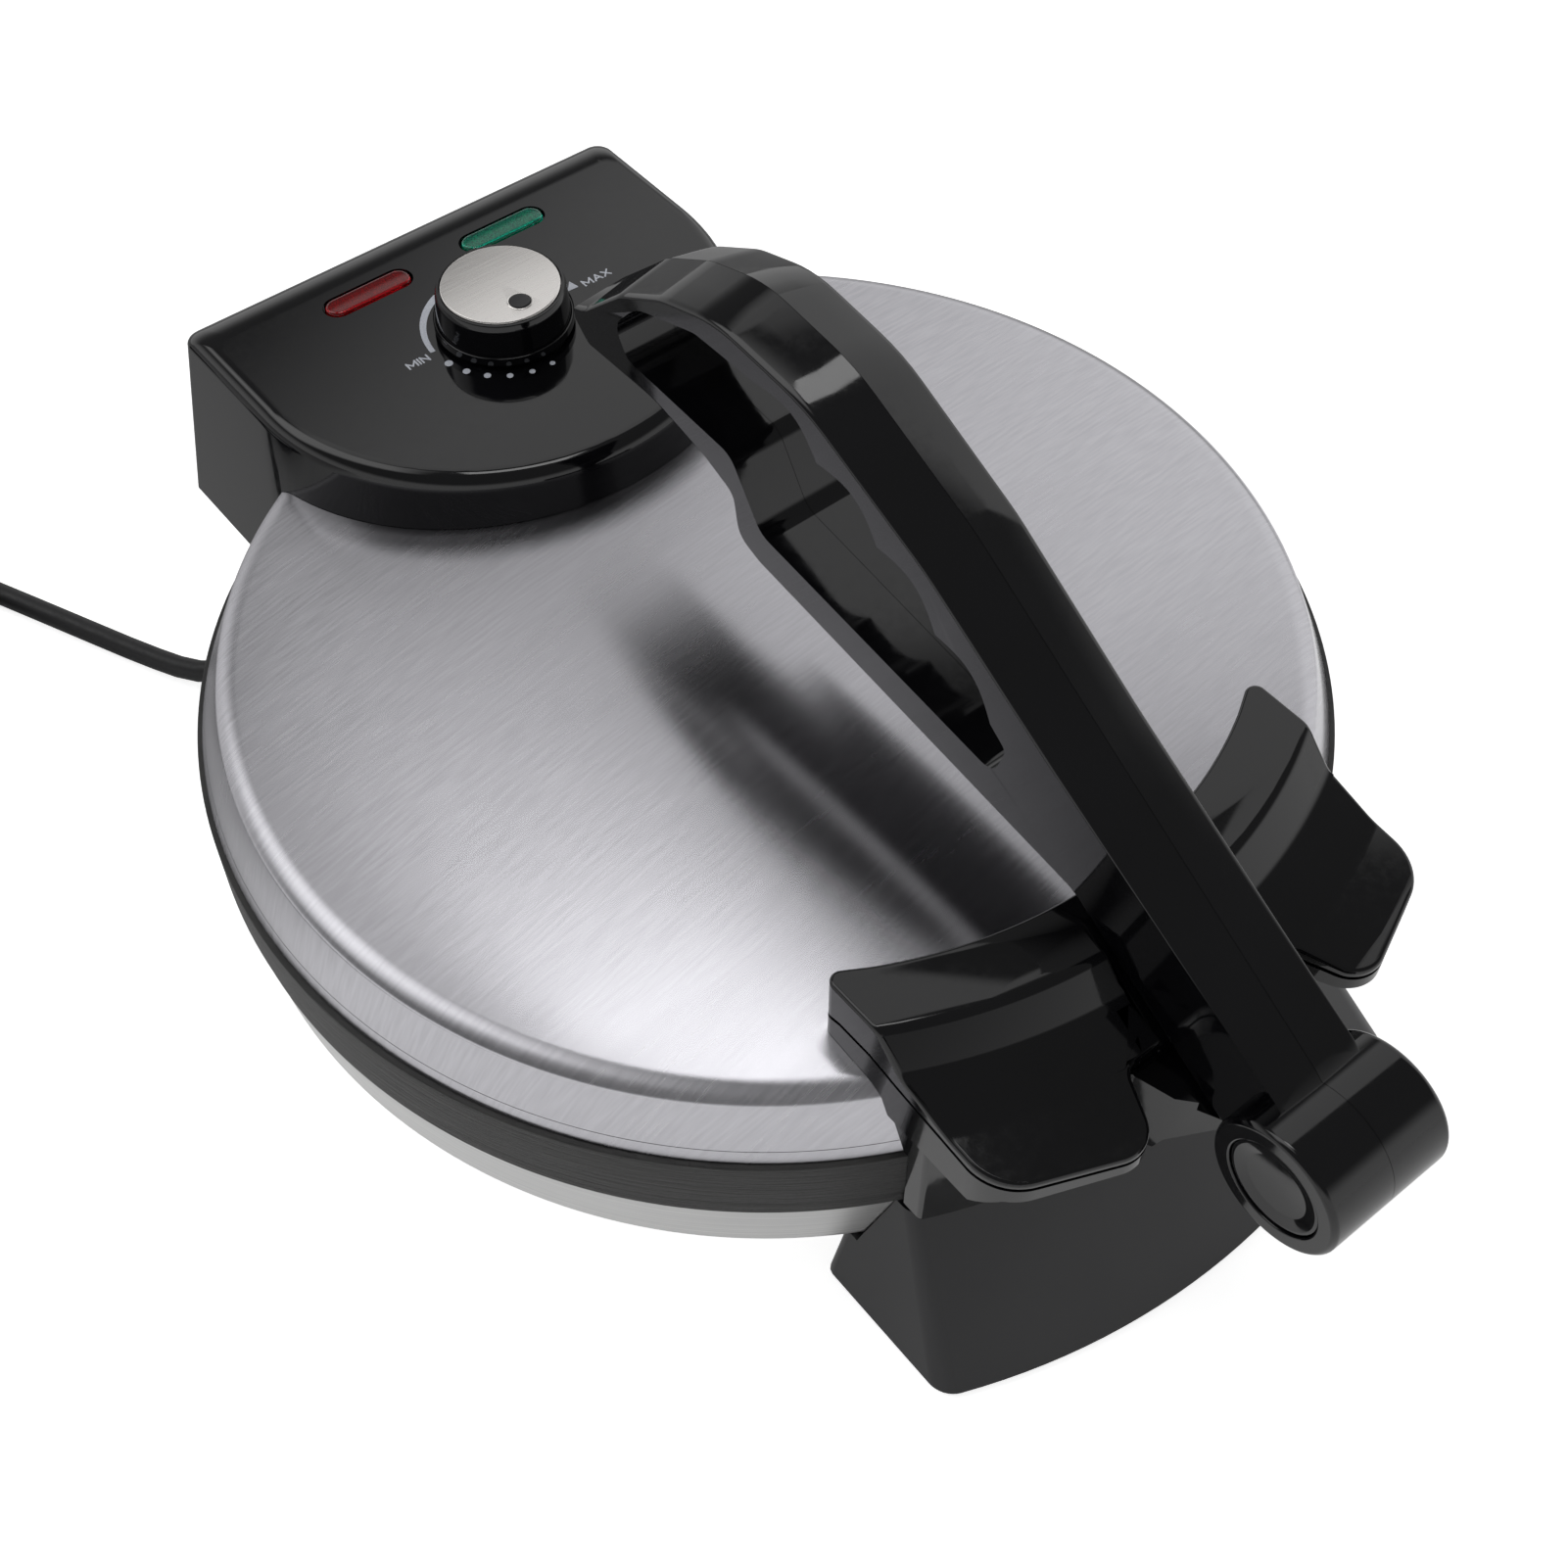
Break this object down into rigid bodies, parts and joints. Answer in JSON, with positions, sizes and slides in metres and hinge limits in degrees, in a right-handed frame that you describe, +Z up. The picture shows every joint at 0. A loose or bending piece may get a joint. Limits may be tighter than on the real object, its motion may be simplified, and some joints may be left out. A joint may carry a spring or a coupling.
{
  "type": "electric roti maker",
  "caption": "Round electric flatbread press with a hinged domed steel lid, rear control housing with a knob and lamps, winged front grip and a fold-over press lever.",
  "frame": {"origin": "on the table under the middle of the appliance's footprint box, measured without the free cord, coil and plug", "axes": "+Z up, -Y towards the user (lever pivot and winged grip), +X to the user's right"},
  "size_m": [0.4181, 0.6066, 0.206],
  "materials": {
    "satin_steel": "satin sheet steel",
    "dark_cast": "dark non-stick coating on a cast and machined aluminium plate",
    "heating_tube": "dull oxidised steel tube",
    "zinc_steel": "zinc-plated steel",
    "black_plastic": "satin black moulded plastic",
    "gloss_black_plastic": "glossy black moulded plastic",
    "foot_rubber": "matte rubber",
    "ceramic": "unglazed white ceramic",
    "cord_rubber": "matte black sheath",
    "nickel_brass": "nickel-plated brass",
    "brushed_lid_steel": "linearly brushed stainless steel",
    "red_lens": "translucent red prismatic plastic",
    "green_lens": "translucent green prismatic plastic",
    "neon_glass": "small neon lamp",
    "brushed_disc_steel": "brushed steel disc"
  },
  "bodies": {
    "base": {"base_pan": "satin_steel", "lower_plate": "dark_cast", "lower_element": "heating_tube", "plate_screws": "zinc_steel", "front_bracket": "black_plastic", "rear_bracket": "black_plastic", "bracket_screws": "zinc_steel", "rubber_feet": "foot_rubber", "terminal_block": "ceramic", "hinge_rod": "zinc_steel", "strain_relief": "cord_rubber", "cord": "cord_rubber", "cord_coil": "cord_rubber", "plug": "cord_rubber", "plug_pins": "nickel_brass"},
    "lid": {"lid_cover": "brushed_lid_steel", "upper_plate": "dark_cast", "upper_element": "heating_tube", "hinge_frame": "zinc_steel", "frame_screws": "zinc_steel", "control_housing": "gloss_black_plastic", "thermostat": "ceramic", "thermostat_bracket": "zinc_steel", "red_lens": "red_lens", "green_lens": "green_lens", "lamps": "neon_glass", "grip_body": "gloss_black_plastic", "grip_top": "gloss_black_plastic", "grip_screws": "zinc_steel", "pivot_pin": "zinc_steel"},
    "knob": {"knob": "black_plastic", "knob_disc": "brushed_disc_steel", "thermostat_shaft": "nickel_brass"},
    "lever": {"lever_left": "gloss_black_plastic", "lever_right": "gloss_black_plastic", "barrel_caps": "gloss_black_plastic", "lever_screws": "zinc_steel"}
  },
  "joints": [
    {"name": "lid_hinge", "type": "hinge", "parent": "base", "child": "lid", "pos_m": [0, 0.1944, 0.051], "axis": [-1, 0, 0], "range_deg": [0, 100]},
    {"name": "lever_pivot", "type": "hinge", "parent": "lid", "child": "lever", "pos_m": [0, -0.1926, 0.0885], "axis": [1, 0, 0], "range_deg": [0, 130]},
    {"name": "knob_turn", "type": "hinge", "parent": "lid", "child": "knob", "pos_m": [0, 0.1439, 0.1125], "axis": [0, 0, 1], "range_deg": [-92, 92]}
  ]
}
